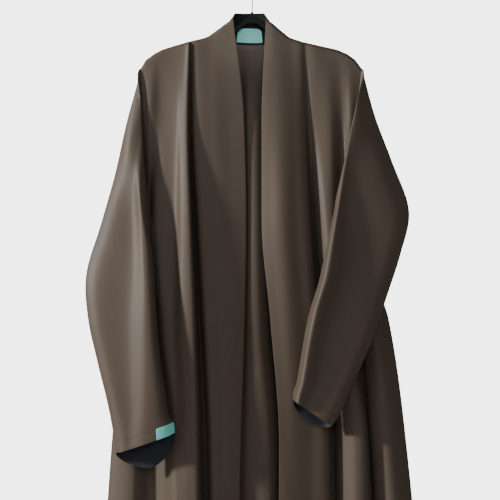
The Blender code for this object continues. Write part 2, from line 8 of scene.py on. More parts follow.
import bmesh
import bpy
import numpy as np
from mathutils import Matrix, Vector


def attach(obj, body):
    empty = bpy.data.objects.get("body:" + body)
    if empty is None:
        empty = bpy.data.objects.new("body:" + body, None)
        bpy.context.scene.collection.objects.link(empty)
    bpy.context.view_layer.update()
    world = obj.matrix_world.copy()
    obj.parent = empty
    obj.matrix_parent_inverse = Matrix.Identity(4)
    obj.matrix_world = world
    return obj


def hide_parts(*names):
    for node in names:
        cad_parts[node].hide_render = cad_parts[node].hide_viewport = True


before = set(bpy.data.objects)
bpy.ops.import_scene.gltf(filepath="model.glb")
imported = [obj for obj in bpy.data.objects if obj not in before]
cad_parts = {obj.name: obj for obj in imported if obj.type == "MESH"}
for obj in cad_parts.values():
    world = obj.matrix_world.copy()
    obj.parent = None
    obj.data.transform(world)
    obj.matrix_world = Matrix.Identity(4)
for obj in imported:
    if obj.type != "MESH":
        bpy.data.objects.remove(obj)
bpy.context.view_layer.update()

MM = 0.001
TINY = 1e-9
CLOTH = 0.9  # thickness of the crepe
LINING = 0.8  # thickness of the facing and the labels
SOLID_WALL = 1.6  # the wall of the solids of crepe
SOLID_LINING = 1.1  # the wall of the solids of the facing and the labels
SOLID_GAP = 0.3  # between the solids at a seam, or where one lies on another
UNDERARM_DOWN = 470
HEM_DOWN = 1548
SHOULDER_ROUND = 8
NECK_ACROSS = (-80, 70)
NECK_DROP = 20
NECK_BACK = 30
NECK_FRONT = 6
BAND_TOP_DOWN = 85.5
BAND_TOP_HALF = 26
BAND_TOP_BACK = 24
BAND_LEVEL = 0.72
BAND_ROUND = 0.74
HANGER_HALF_THICK = 3
HANGER_HEIGHT = 11
HANGER_CLEAR = 2.3
HANGER_HALF_SPAN = 178
HANGER_STRAIGHT = 160
HANGER_DROOP = 120
HANGER_EDGE = 1.2  # how far its edges are rounded
HANGER_NECK = ((9, 95), (30, 112), (50, 129), (70, 141))
HANGER_ARM_START = 90
HANGER_ARM_POINTS = 24
HANGER_STEM = ((-4, 92), (-1.8, 84.5), (1.8, 84.5), (4, 92))
TURN_OUT = 5
TURN_FORWARD = 4
TURN_LEAST = 0.4
TURN_FADE = 3
HOOK_WIRE = 1.7
HOOK_INNER = 18
HOOK_FOOT = ((0, 84.2), (0, 66), (0.6, 54), (3.4, 43.5))
HOOK_TURN = (-62, 188)
HOOK_POINTS = 60
BAND_ROWS = 24
SEAM_ROWS = 3  # rows of the band that show below the facing
LABEL_ROWS = 12
LABEL_COLUMNS = 24
LABEL_TOP = 0.58  # as a share of the band's height, and so are the next three
LABEL_BOTTOM = 0.18
LABEL_ARCH = 0.02
LABEL_CORNER = 0.07
LABEL_CORNER_POWER = 10
LABEL_WIDE = 1 / 3  # as a share of the band's length
LABEL_SPREAD = 1.1  # columns that its top is let out, as its sides hang straight
CUFF_LABEL_LINES = (7, 9.4)  # where it lies, counted in the coarse columns round the cuff
CUFF_LABEL_ROWS = 8
CUFF_LABEL_COLUMNS = 14
NO_HEM = 1000.0  # how far a piece without stitches is taken to be from a hem
RIM_CLOSE = 0.001  # what a rim's map gains where its ring closes
SIDE_TURN = 3  # coarse rows over which a panel's side comes to follow the panel beside it
STITCH_UP = 0.019  # metres above the hem, and the next two are metres too
STITCH_HALF_WIDE = (0.0002, 0.0006)
STITCH_LONG = 0.0032
STITCH_SHARE = 0.75  # of each length that its thread covers
STITCH_SUNK = -1.5
EYE_DISTANCE = 3.8
EYE_ACROSS = -0.0037
EYE_HEIGHT = -0.5253
FRAME_WIDE = 0.925  # how much the picture shows at the hanger, in metres
SENSOR = 36
FLOOR = -2.3
FLOOR_HALF = 2.0
WORLD_SOFT = 0.16  # the light it gives
WORLD_PALE = 4.5  # how bright it looks

SHOULDER_LINE = (
    (-205, 189), (-196, 174), (-181, 163), (-166, 155), (-144, 148), (-118, 140.5),
    (-87, 133), (-72, 126), (-54, 111), (-35, 98), (26, 98), (43, 111), (59, 126),
    (70, 133), (93, 140.5), (126, 148), (157, 155), (176, 163), (191, 174), (202, 189),
)
LEVELS = (285, UNDERARM_DOWN, 655, 880, HEM_DOWN)
# name, top, chest, underarm, hip, thigh, hem, coarse columns up to the next line
FRONT_RIGHT_FOLDS = (
    ("side", (-205, 8), (-203, 13), (-194, 0), (-229, 0), (-259, 0), (-296, 0), 2),
    ("outer ridge", (-197, 8), (-195, 16), (-191, 8), (-212, 20), (-218, 21), (-248, 50), 2),
    ("outer valley", (-190, 8), (-190, 18), (-189, 8), (-192, 8), (-187, 5), (-198, -6), 2),
    ("slot", (-182, 8), (-185, 18), (-186, 10), (-176, 10), (-165, 14), (-168, 20), 2),
    ("beside the sleeve", (-170, 8), (-169, 15.8), (-178, 30), (-166, 40), (-143, 42), (-140, 76), 2),
    ("flank", (-148, 8), (-139, 22), (-141, 37), (-143, 42), (-131, 46), (-128, 79), 2),
    ("ridge", (-123, 11), (-131, 27), (-128, 53), (-126, 57), (-115, 51), (-112, 80), 2),
    ("lip", (-116, 13.5), (-119, 31.5), (-113, 57), (-106, 60), (-100, 50), (-90, 76), 2),
    ("under the lip", (-114, 9), (-116.5, 18), (-112, 22), (-104, 22), (-96, 16), (-86, 14), 2),
    ("inner valley", (-111.5, 7), (-111, 7), (-106, 2), (-97, 2), (-86, 0), (-76, 2), 2),
    ("panel edge", (-108, 9), (-107, 21), (-98, 30), (-87, 31), (-75, 28), (-65, 36), 2),
    ("panel", (-77, 8.5), (-72, 22), (-66, 31), (-60, 31), (-54, 27), (-55, 34), 2),
    ("near the edge", (-55, 9.5), (-41, 18), (-36, 27), (-35, 28), (-38, 25), (-46, 44), 2),
    ("edge", (-35, 9), (-15, 16), (-11, 23), (-14, 23), (-21, 21), (-33, 40), 0),
)
FRONT_LEFT_FOLDS = (
    ("edge", (26, 9), (18, 22), (18, 28), (34, 39), (50, 48), (41, 60), 2),
    ("roll", (37, 10), (30, 25), (31, 33), (46, 40.5), (60, 47), (55, 62), 2),
    ("soft ridge", (50, 9), (50, 27), (54, 40), (66, 43), (78, 44.5), (78, 56), 2),
    ("panel", (72, 8), (76, 22), (80, 34), (94, 36), (108, 37), (108, 44), 2),
    ("panel end", (88, 9), (95, 16), (105, 25), (120, 27), (140, 29), (147, 30), 2),
    ("deep valley", (98, 7), (105, 8), (113, 1), (128, -2), (149, -6), (158, -10), 2),
    ("foot", (104, 8), (112, 10.5), (121, 12), (138, 16), (164, 18), (172, 30), 2),
    ("ridge", (113, 9.5), (123, 13.3), (137, 28), (152, 36), (189, 38), (196, 68), 2),
    ("plateau", (136, 8), (144, 16), (153, 26), (170, 33), (208, 35), (226, 40), 2),
    ("outer valley", (159, 8), (166, 9.5), (165, 7), (194, 0), (217, -6), (248, -12), 2),
    ("outer foot", (168, 8), (174, 12), (170, 14), (202, 12), (221, 10), (262, 30), 2),
    ("outer ridge", (180, 8), (181, 15), (177, 14), (222, 24), (250, 27), (300, 62), 2),
    ("side", (202, 8), (193, 12), (187, 0), (253, 0), (285, 0), (345, 0), 0),
)
BACK_FOLDS = (
    ("right side", (-205, -8), (-203, -12), (-194, 0), (-229, 0), (-259, 0), (-296, 0), 3),
    ("right ridge", (-170, -8), (-174, -26), (-166, -36), (-186, -40), (-206, -48), (-238, -80), 3),
    ("right valley", (-128, -8), (-130, -40), (-128, -54), (-137, -62), (-152, -70), (-170, -44), 3),
    ("right neck point", (-80, -8), (-84, -32), (-86, -38), (-90, -42), (-96, -46), (-110, -92), 3),
    ("right of middle", (-44, -25), (-42, -14), (-38, -12), (-38, -12), (-44, -10), (-54, -56), 3),
    ("middle", (-5, -30), (-1, 8), (1, 20), (6, 21), (18, 15), (24, 0), 2),
    ("behind the opening", (22.3, -28), (20, 2), (22, 13), (28, 11), (42, 9), (52, -20), 1),
    ("left of middle", (36, -25), (42, -26), (48, -24), (58, -32), (78, -40), (98, -94), 3),
    ("left neck point", (70, -8), (86, -34), (96, -40), (111, -44), (131, -48), (158, -54), 3),
    ("left valley", (122, -8), (134, -42), (140, -54), (160, -64), (188, -72), (236, -96), 3),
    ("left ridge", (164, -8), (167, -26), (160, -34), (206, -40), (238, -48), (298, -52), 3),
    ("left side", (202, -8), (193, -12), (187, 0), (253, 0), (285, 0), (345, 0), 0),
)
# The solids' rows, and how many rows or columns of cloth there are for each of theirs
COARSE_ABOVE = (0, 0.004, 0.012, 0.03, 0.08, 0.15, 0.24, 0.35, 0.47, 0.6, 0.74, 0.87, 1)
COARSE_BELOW = (0, 0.06, 0.14, 0.23, 0.33, 0.44, 0.56, 0.69, 0.84, 1)
FINE_ABOVE = 6
FINE_BELOW = 18
FINE_ACROSS = 4
FINE_SLEEVE = 5

# Points round the sleeve's third ring, each across, forward and down
RIGHT_SLEEVE_ROLL = (
    (-208, 7, 203), (-206, 20, 245), (-203, 27, 300), (-199, 33, 360), (-195, 34, 396),
    (-191, 34, 430), (-192, 30, 478), (-214, -6, 420), (-214, -12, 300),
)
LEFT_SLEEVE_ROLL = (
    (207, 6, 206), (197, 24, 245), (184, 32, 294), (173, 37, 345), (166, 42, 380),
    (161, 40, 414), (167, 40, 474), (206, 0, 420), (210, -12, 290),
)
# Further rings: the outer edge and the inner fold, each across, forward and down, then how deep
# the tube is, how far across its ridge runs, how high the ridge stands, how much lower the back
# hangs and how far forward the cloth stands just before the inner fold
RIGHT_SLEEVE_RINGS = (
    ((-231, 16, 292), (-187, 42, 500), 27, 0.62, 8, 0, 14),
    ((-252, 14, 385), (-180, 50, 552), 30, 0.74, 10, 0, 18),
    ((-277.5, 24, 478), (-176, 56, 618), 32, 0.83, 12, 0, 21),
    ((-304, 33, 572), (-171, 60, 690), 33, 0.84, 13, 0, 23),
    ((-300, 41, 650), (-164, 63, 745), 34, 0.80, 12, 0, 22),
    ((-282, 49, 730), (-157, 65, 790), 34, 0.72, 11, 0, 21),
    ((-261.5, 56, 812), (-150, 66, 830), 34, 0.62, 9, 0, 19),
    ((-250, 60, 876), (-142, 67, 838), 34, 0.52, 7, 12, 17),
    ((-248, 61, 896), (-139, 67, 857), 34, 0.50, 7, 49, 16),
)
LEFT_SLEEVE_RINGS = (
    ((228, 5, 281), (147, 54, 470), 24, 0.90, 6, 0, 9.6),
    ((258, 10, 362), (135, 62, 522), 28, 0.92, 9, 0, 11.2),
    ((289, 18, 455), (121, 69, 585), 32, 0.93, 12, 0, 12.8),
    ((273, 32, 530), (104, 72, 640), 34, 0.93, 13, 0, 13.6),
    ((247, 44, 608), (94, 73, 690), 36, 0.93, 13, 0, 14.4),
    ((219, 53, 690), (87, 73, 732), 38, 0.92, 12, 0, 15.2),
    ((184, 61, 768), (80, 73, 770), 40, 0.90, 11, 0, 16),
    ((157, 65, 828), (76, 73, 780), 42, 0.88, 9, 6, 16.8),
    ((145, 66, 845), (74, 73, 796), 42, 0.88, 9, 24, 16.8),
)
# Coarse columns from each line round a sleeve to the next
LOOP_STEPS = (2, 2, 2, 2, 2, 3, 3, 4, 4)


def seat(across, forward, down):
    """A place in the tables' terms as a point in millimetres, X right, Y away and Z up."""
    return np.array([across, -forward, -down], float)


def eased(places, values, at):
    """Values read off a smooth curve that never overshoots its own points."""
    x, y, at = np.asarray(places, float), np.asarray(values, float), np.asarray(at, float)
    step = np.diff(x)
    slope = np.diff(y) / step
    tangent = np.empty(len(x))
    tangent[0], tangent[-1] = slope[0], slope[-1]
    same_way = slope[:-1] * slope[1:] > 0
    tangent[1:-1] = np.where(
        same_way, 2 * slope[:-1] * slope[1:] / np.where(same_way, slope[:-1] + slope[1:], 1), 0
    )
    i = np.clip(np.searchsorted(x, at, side="right") - 1, 0, len(step) - 1)
    t = np.clip((at - x[i]) / step[i], 0, 1)
    return (
        y[i] * (1 + 2 * t) * (1 - t) ** 2
        + y[i + 1] * t * t * (3 - 2 * t)
        + step[i] * (tangent[i] * t * (1 - t) ** 2 - tangent[i + 1] * t * t * (1 - t))
    )


def spline(points, steps, before, after):
    """Points on a smooth curve through the given ones, with steps[i] spans from one to the next.
    Each point may be one place or a whole line of them."""
    q = np.concatenate([[before], points, [after]]).astype(float)
    lengths = np.linalg.norm(np.diff(q, axis=0), axis=-1) ** 0.5
    knots = np.concatenate([np.zeros((1, *lengths.shape[1:])), np.cumsum(lengths, axis=0)])
    knots = knots[..., None]
    made = []
    for i, count in enumerate(steps):
        for share in np.arange(count) / count:
            t = knots[i + 1] + share * (knots[i + 2] - knots[i + 1])
            a = [
                ((knots[j + 1] - t) * q[j] + (t - knots[j]) * q[j + 1]) / (knots[j + 1] - knots[j])
                for j in range(i, i + 3)
            ]
            b = [
                ((knots[j + 2] - t) * a[j - i] + (t - knots[j]) * a[j - i + 1])
                / (knots[j + 2] - knots[j])
                for j in range(i, i + 2)
            ]
            span = knots[i + 2] - knots[i + 1]
            made.append(((knots[i + 2] - t) * b[0] + (t - knots[i + 1]) * b[1]) / span)
    made.append(q[len(steps) + 1])
    return np.array(made)


def shoulder_down(across):
    """How far down the shoulder seam or the fronts' upper edge lies."""
    places, downs = zip(*SHOULDER_LINE)
    return np.interp(across, places, downs)


def neck_share(across):
    """Nought at the neck points and one at the middle of the back neck, along a half round."""
    middle, half = sum(NECK_ACROSS) / 2, (NECK_ACROSS[1] - NECK_ACROSS[0]) / 2
    return np.sqrt(np.clip(1 - ((across - middle) / half) ** 2, 0, 1))


def front_top(across):
    """A point on a front's upper edge, which leans forward past the neck point."""
    left, right = NECK_ACROSS
    corner = FRONT_RIGHT_FOLDS[-1][1][0] if across < 0 else FRONT_LEFT_FOLDS[0][1][0]
    neck = left if across < 0 else right
    lean = np.clip((across - neck) / (corner - neck), 0, 1)
    return seat(across, NECK_FRONT * lean, shoulder_down(across))


def back_top(across):
    """A point on the back's upper edge, which dips and goes back round the neck."""
    share = neck_share(across)
    left, right = NECK_ACROSS
    level = np.interp(across, NECK_ACROSS, shoulder_down(np.array(NECK_ACROSS)))
    down = level + NECK_DROP * share if left < across < right else shoulder_down(across)
    return seat(across, -NECK_BACK * share, down)


def finer(coarse, count):
    """The same values with more between them."""
    at = np.linspace(0, len(coarse) - 1, (len(coarse) - 1) * count + 1)
    return np.interp(at, np.arange(len(coarse)), coarse)


ABOVE = finer(COARSE_ABOVE, FINE_ABOVE)
BELOW = finer(COARSE_BELOW, FINE_BELOW)[1:]
LAST = len(ABOVE) - 1


def fold_rows(fold, top):
    """One fold line as a point for each row of its panel."""
    forward_top = fold[1][1]
    places = [(-top[2], fold[1][0], forward_top), *((d, *p) for d, p in zip(LEVELS, fold[2:7]))]
    downs, across, forward = zip(*places)
    above = downs[0] + ABOVE * (UNDERARM_DOWN - downs[0])
    below = UNDERARM_DOWN + BELOW * (HEM_DOWN - UNDERARM_DOWN)
    rows = np.concatenate([above, below])
    turned = np.sqrt(1 - (1 - np.clip((rows - downs[0]) / SHOULDER_ROUND, 0, 1)) ** 2)
    seam_forward = -top[1]
    out = seam_forward + (eased(downs, forward, rows) - seam_forward) * turned
    return np.stack([eased(downs, across, rows), -out, -rows], axis=1)


def panel(folds, top, other_sides):
    """A panel's points, a row for each height and a column across."""
    lines = np.array([fold_rows(fold, top(fold[1][0])) for fold in folds])
    steps = [fold[7] * FINE_ACROSS for fold in folds[:-1]]
    rows = np.arange(lines.shape[1])
    share = np.clip((LAST - rows) / (SIDE_TURN * FINE_ABOVE), 0, 1)[:, None]
    ends = []
    for edge, inside, others in ((0, 1, other_sides[0]), (-1, -2, other_sides[1])):
        outwards = 2 * lines[edge] - lines[inside]
        ends.append(outwards if others is None else share * outwards + (1 - share) * others)
    grid = spline(lines, steps, *ends).transpose(1, 0, 2)
    fade = (1 - ABOVE) ** 2
    for column in range(grid.shape[1]):
        seam = top(grid[0, column, 0])
        if not NECK_ACROSS[0] < seam[0] < NECK_ACROSS[1]:
            grid[: LAST + 1, column, 2] += fade * (seam[2] - grid[0, column, 2])
        grid[0, column] = seam
    return grid


def normals(grid, closed):
    """The unit normal at each point of a grid, whose columns meet again when it is closed."""
    down = np.gradient(grid, axis=0)
    if closed:
        along = (np.roll(grid, -1, axis=1) - np.roll(grid, 1, axis=1)) / 2
    else:
        along = np.gradient(grid, axis=1)
    n = np.cross(down, along)
    return n / np.maximum(np.linalg.norm(n, axis=2, keepdims=True), TINY)


def lengths_along(grid, axis):
    """How far each point of a grid is along its row or column from the first."""
    steps = np.linalg.norm(np.diff(grid, axis=axis), axis=2)
    first = np.zeros_like(steps[:1] if axis == 0 else steps[:, :1])
    return np.concatenate([first, np.cumsum(steps, axis=axis)], axis=axis)


def shell(name, grid, normal, material, closed=False, thick=CLOTH, hem_at_end=False,
          inside_shade=None):
    """A thin closed sheet round a grid of points, with bevelled edges, as one object. Its first
    map is in metres of cloth, and its second holds how far each point is from the hem. Its last
    argument is a dark material laid on the lower half of its inner face as painted shade."""
    rows, columns = grid.shape[:2]
    half = thick / 2
    outer, inner = grid + normal * half, grid - normal * half
    points = [outer.reshape(-1, 3), inner.reshape(-1, 3)]
    total = 2 * rows * columns
    numbers = np.arange(rows * columns).reshape(rows, columns)
    if closed:
        wrapped = np.concatenate([numbers, numbers[:, :1]], axis=1)
        ring = np.concatenate([grid, grid[:, :1]], axis=1)
    else:
        wrapped, ring = numbers, grid
    across, down = lengths_along(ring, 1), lengths_along(ring, 0)
    a, b = wrapped[:-1, :-1], wrapped[:-1, 1:]
    c, d = wrapped[1:, 1:], wrapped[1:, :-1]
    front = np.stack([a, d, c, b], axis=-1).reshape(-1, 4)
    back = (front + rows * columns)[:, ::-1]
    corners = [(slice(None, -1), slice(None, -1)), (slice(1, None), slice(None, -1)),
               (slice(1, None), slice(1, None)), (slice(None, -1), slice(1, None))]
    cloth = np.stack([np.stack([across[s], down[s]], axis=-1) for s in corners], axis=2)
    cloth = cloth.reshape(-1, 4, 2) * MM
    from_hem = (down[-1:] - down) if hem_at_end else np.full_like(down, NO_HEM)
    edge = np.stack([np.stack([across[s], from_hem[s]], axis=-1) for s in corners], axis=2)
    edge = edge.reshape(-1, 4, 2) * MM
    faces, maps, edges = [front, back], [cloth, cloth[:, ::-1]], [edge, edge[:, ::-1]]

    def rim(line, tips, flip, at):
        nonlocal total
        points.append(tips)
        tip = np.arange(len(tips)) + total
        total += len(tips)
        if closed:
            line, tip = np.append(line, line[0]), np.append(tip, tip[0])
            at = np.append(at, at[-1] + RIM_CLOSE)
        for first, second in ((line, tip), (tip, line + rows * columns)):
            quad = np.stack([first[:-1], first[1:], second[1:], second[:-1]], axis=-1)
            where = np.stack([at[:-1], at[1:], at[1:], at[:-1]], axis=-1)[..., None] * MM
            where = np.concatenate([where, np.zeros_like(where)], axis=-1)
            faces.append(quad if flip else quad[:, ::-1])
            maps.append(where if flip else where[:, ::-1])
            edges.append(where if flip else where[:, ::-1])

    for row, inside in ((0, 1), (-1, -2)):
        out = grid[row] - grid[inside]
        out = out / np.maximum(np.linalg.norm(out, axis=1, keepdims=True), TINY)
        rim(numbers[row], grid[row] + out * half, row == 0, across[row][:columns])
    if not closed:
        for column, inside in ((0, 1), (-1, -2)):
            out = grid[:, column] - grid[:, inside]
            out = out / np.maximum(np.linalg.norm(out, axis=1, keepdims=True), TINY)
            rim(numbers[:, column], grid[:, column] + out * half, column != 0, down[:, column])
    mesh = bpy.data.meshes.new(name)
    every = np.concatenate(faces)
    mesh.from_pydata((np.concatenate(points) * MM).tolist(), [], every.tolist())
    for title, values in (("cloth", maps), ("hem", edges)):
        layer = mesh.uv_layers.new(name=title)
        layer.data.foreach_set("uv", np.concatenate(values).reshape(-1).astype(np.float32))
    mesh.calc_loop_triangles()
    thirds = np.array([[mesh.vertices[v].co for v in t.vertices] for t in mesh.loop_triangles])
    volume = np.einsum("ij,ij->i", thirds[:, 0], np.cross(thirds[:, 1], thirds[:, 2])).sum()
    if volume < 0:
        mesh.flip_normals()
    mesh.shade_smooth()
    mesh.materials.append(material)
    # painted shade: the lower half of the inner face takes a dark material that stands in for the
    # shade inside the sleeve
    if inside_shade:
        mesh.materials.append(inside_shade)
        for face in mesh.polygons[len(front) * 3 // 2:2 * len(front)]:
            face.material_index = 1
    piece = bpy.data.objects.new(name, mesh)
    bpy.context.scene.collection.objects.link(piece)
    piece.modifiers.new("even", "WEIGHTED_NORMAL")
    return piece


def meet_at_side(first, first_edge, second, second_edge):
    """Gives two panels the same normals down the side seam that they share."""
    below = slice(LAST, None)
    both = first[below, first_edge] + second[below, second_edge]
    both /= np.linalg.norm(both, axis=1, keepdims=True)
    first[below, first_edge], second[below, second_edge] = both, both


def ring_lines(station):
    """The nine lines of a sleeve where they cross one ring: five across its front, its inner
    fold, the hollow under that, and two across its back."""
    outer, inner, depth, ridge_at, ridge_high, back_hang, fold_high = station
    outer, inner = seat(*outer), seat(*inner)

    def place(share, forward, lower=0):
        """A point so far in from the outer edge, so far forward and so much lower."""
        return outer + share * (inner - outer) + np.array([0, -forward, -lower])

    front, behind = depth / 2, -depth / 2
    return np.array([
        outer,
        place(0.12, front * 0.8),
        place(ridge_at - 0.24, front),
        place(ridge_at, front + ridge_high),
        place(0.75 + ridge_at / 4, fold_high),
        place(1.0, 0),
        place(0.93, behind * 0.9, back_hang * 0.6),
        place(0.6, behind, back_hang),
        place(0.15, behind * 0.8, back_hang * 0.45),
    ])


def round_ring(points):
    """A sleeve's ring as a closed loop of points through its nine lines."""
    steps = [count * FINE_ABOVE for count in LOOP_STEPS]
    return spline(np.vstack([points, points[:1]]), steps, points[-1], points[1])[:-1]


def armhole_ring(front, front_edge, back, back_edge):
    """The sleeve's first ring: down the front panel's edge and up the back's."""
    down, up = front[: LAST + 1, front_edge], back[: LAST + 1, back_edge]
    underarm = (down[LAST] + up[LAST]) / 2
    return np.vstack([down[:LAST], [underarm], up[LAST - 1:0:-1]])


def turned_ring(ring, outwards):
    """The sleeve's second ring: a little way outwards, and forward of the front's edge."""
    places = np.arange(len(ring)) / FINE_ABOVE
    last, end = LAST / FINE_ABOVE, len(ring) / FINE_ABOVE
    front = np.interp(places, [0, TURN_FADE, last - 1, last + 1, end], [0, 1, 1, 0, 0])
    out = np.interp(places, [0, TURN_FADE, end - TURN_FADE, end], [TURN_LEAST, 1, 1, TURN_LEAST])
    away = [outwards * TURN_OUT * out, -TURN_FORWARD * front, -TURN_OUT * (1 - out)]
    return ring + np.stack(away, axis=1)


def sleeve(hole, turned, roll, rings):
    """A sleeve's points, a row for each ring from the armhole to the cuff."""
    stations = [hole, turned, round_ring(np.array([seat(*p) for p in roll]))]
    stations += [round_ring(ring_lines(ring)) for ring in rings]
    stations = np.array(stations)
    steps = [FINE_SLEEVE, *[2 * FINE_SLEEVE] * (len(stations) - 3), FINE_SLEEVE]
    return spline(stations, steps, 2 * stations[0] - stations[1], 2 * stations[-1] - stations[-2])


def band(back_grid, neck_columns, heights):
    """The collar's points: from the back neck seam up to its level top, with its ends along
    the fronts' upper edges."""
    bottom = back_grid[0, neck_columns].copy()
    share = np.linspace(-1, 1, len(bottom))
    level = np.minimum(np.abs(share), BAND_LEVEL)
    ending = (np.abs(share) - level) / (1 - BAND_LEVEL)
    right, left = (front_top(fold[1][0]) for fold in (FRONT_RIGHT_FOLDS[-1], FRONT_LEFT_FOLDS[0]))
    middle, half = (right[0] + left[0]) / 2, (left[0] - right[0]) / 2
    out = level / BAND_LEVEL * BAND_TOP_HALF + ending * (half - BAND_TOP_HALF)
    behind = BAND_TOP_BACK * np.sqrt(1 - BAND_ROUND * level ** 2)
    away = (1 - ending) * behind + ending * left[1]
    height = -BAND_TOP_DOWN + ending ** 2 * (left[2] + BAND_TOP_DOWN)
    top = np.stack([middle + np.sign(share) * out, away, height], axis=1)
    rows = np.array([bottom + (top - bottom) * t for t in heights])
    return rows[::-1]


def hanger_outline():
    """The hanger seen from the front, as a closed loop of (across, down)."""
    out = np.linspace(HANGER_ARM_START, HANGER_HALF_SPAN, HANGER_ARM_POINTS)
    droop = HANGER_CLEAR + np.clip(out - HANGER_STRAIGHT, 0, None) ** 2 / HANGER_DROOP
    arms = {}
    for side in (-1, 1):
        neck = [(side * x, d) for x, d in HANGER_NECK]
        arms[side] = neck + list(zip(side * out, shoulder_down(side * out) + droop))
    lower = [(x, d + HANGER_HEIGHT) for x, d in arms[1][::-1] + arms[-1]]
    return arms[-1][::-1] + list(HANGER_STEM) + arms[1] + lower


def hanger_piece(material):
    """The hanger with rounded edges."""
    shape = bmesh.new()
    outline = hanger_outline()
    corners = [shape.verts.new(seat(x, HANGER_HALF_THICK, d) * MM) for x, d in outline]
    face = shape.faces.new(corners)
    grown = bmesh.ops.extrude_face_region(shape, geom=[face])
    moved = [v for v in grown["geom"] if isinstance(v, bmesh.types.BMVert)]
    bmesh.ops.translate(shape, verts=moved, vec=(0, 2 * HANGER_HALF_THICK * MM, 0))
    bmesh.ops.recalc_face_normals(shape, faces=shape.faces)
    mesh = bpy.data.meshes.new("hanger_body")
    shape.to_mesh(mesh)
    shape.free()
    mesh.shade_smooth()
    mesh.materials.append(material)
    piece = bpy.data.objects.new("hanger_body", mesh)
    bpy.context.scene.collection.objects.link(piece)
    round_off = piece.modifiers.new("round", "BEVEL")
    round_off.width = HANGER_EDGE * MM
    round_off.segments = 3
    round_off.angle_limit = 0.7
    piece.modifiers.new("even", "WEIGHTED_NORMAL")
    return piece


def hook_piece(material):
    """The hook's wire, a round bent rod with capped ends."""
    radius = HOOK_INNER + HOOK_WIRE
    turn = np.radians(np.linspace(*HOOK_TURN, HOOK_POINTS))
    bend = [(radius * np.cos(a), HOOK_INNER - radius * np.sin(a)) for a in turn]
    curve = bpy.data.curves.new("hook_wire", "CURVE")
    curve.dimensions = "3D"
    curve.bevel_depth = HOOK_WIRE * MM
    curve.bevel_resolution = 6
    curve.use_fill_caps = True
    places = [seat(x, 0, d) * MM for x, d in [*HOOK_FOOT, *bend]]
    line = curve.splines.new("POLY")
    line.points.add(len(places) - 1)
    for point, place in zip(line.points, places):
        point.co = (*place, 1)
    curve.materials.append(material)
    piece = bpy.data.objects.new("hook_wire", curve)
    bpy.context.scene.collection.objects.link(piece)
    return piece


def nodes_of(material):
    """A material's node tree, its shader and a function that adds nodes and joins them."""
    material.use_nodes = True
    tree = material.node_tree
    shader = tree.nodes["Principled BSDF"]

    def add(kind, inputs=None, **settings):
        node = tree.nodes.new(kind)
        for key, value in settings.items():
            setattr(node, key, value)
        for key, value in (inputs or {}).items():
            if isinstance(value, bpy.types.NodeSocket):
                tree.links.new(value, node.inputs[key])
            else:
                node.inputs[key].default_value = value
        return node

    return tree, shader, add


def crepe_material():
    """Matte crepe: a fine pebbled grain, faint lengthwise threads, a soft sheen and uneven dye."""
    material = bpy.data.materials.new("crepe_cloth")
    tree, shader, add = nodes_of(material)
    cloth = add("ShaderNodeUVMap", uv_map="cloth").outputs["UV"]
    fine = add("ShaderNodeTexNoise", {"Vector": cloth, "Scale": 1500.0, "Detail": 3.0})
    threads = add("ShaderNodeMapping", {"Vector": cloth, "Scale": (900.0, 45.0, 1.0)})
    slub = add("ShaderNodeTexNoise", {"Vector": threads.outputs[0], "Scale": 1.0, "Detail": 2.0})
    place = add("ShaderNodeTexCoord").outputs["Object"]
    dye = add("ShaderNodeTexNoise", {"Vector": place, "Scale": 7.0, "Detail": 3.0})
    grain = add("ShaderNodeMath", {0: fine.outputs[0], 1: slub.outputs[0]}, operation="ADD")
    shade = add("ShaderNodeMixRGB", {"Fac": dye.outputs[0], "Color1": (0.082, 0.060, 0.043, 1),
                                     "Color2": (0.096, 0.070, 0.050, 1)})
    speck = add("ShaderNodeMapRange", {"Value": grain.outputs[0], "From Min": 0.7, "From Max": 1.3,
                                       "To Min": 0.90, "To Max": 1.10})
    dyed = add("ShaderNodeVectorMath", {0: shade.outputs[0], "Scale": speck.outputs[0]},
               operation="SCALE")
    hem = add("ShaderNodeUVMap", uv_map="hem").outputs["UV"]
    parts = add("ShaderNodeSeparateXYZ", {0: hem})
    off = add("ShaderNodeMath", {0: parts.outputs["Y"], 1: STITCH_UP}, operation="SUBTRACT")
    away = add("ShaderNodeMath", {0: off.outputs[0]}, operation="ABSOLUTE")
    line = add("ShaderNodeMapRange", {"Value": away.outputs[0], "From Min": STITCH_HALF_WIDE[0],
                                      "From Max": STITCH_HALF_WIDE[1], "To Min": 1.0,
                                      "To Max": 0.0})
    turns = add("ShaderNodeMath", {0: parts.outputs["X"], 1: 1 / STITCH_LONG},
                operation="MULTIPLY")
    part = add("ShaderNodeMath", {0: turns.outputs[0]}, operation="FRACT")
    dash = add("ShaderNodeMath", {0: part.outputs[0], 1: STITCH_SHARE}, operation="LESS_THAN")
    stitch = add("ShaderNodeMath", {0: line.outputs[0], 1: dash.outputs[0]}, operation="MULTIPLY")
    sewn = add("ShaderNodeMixRGB", {"Fac": stitch.outputs[0], "Color1": dyed.outputs[0],
                                    "Color2": (0.04, 0.03, 0.023, 1)})
    tree.links.new(sewn.outputs[0], shader.inputs["Base Color"])
    rough = add("ShaderNodeMapRange", {"Value": grain.outputs[0], "From Min": 0.7, "From Max": 1.3,
                                       "To Min": 0.52, "To Max": 0.62})
    tree.links.new(rough.outputs[0], shader.inputs["Roughness"])
    height = add("ShaderNodeMath", {0: stitch.outputs[0], 1: STITCH_SUNK, 2: grain.outputs[0]},
                 operation="MULTIPLY_ADD")
    bump = add("ShaderNodeBump", {"Height": height.outputs[0], "Strength": 0.35,
                                  "Distance": 0.0002})
    tree.links.new(bump.outputs[0], shader.inputs["Normal"])
    shader.inputs["Specular IOR Level"].default_value = 0.4
    shader.inputs["Sheen Weight"].default_value = 0.04
    shader.inputs["Sheen Roughness"].default_value = 0.35
    shader.inputs["Sheen Tint"].default_value = (1, 0.95, 0.9, 1)
    return material


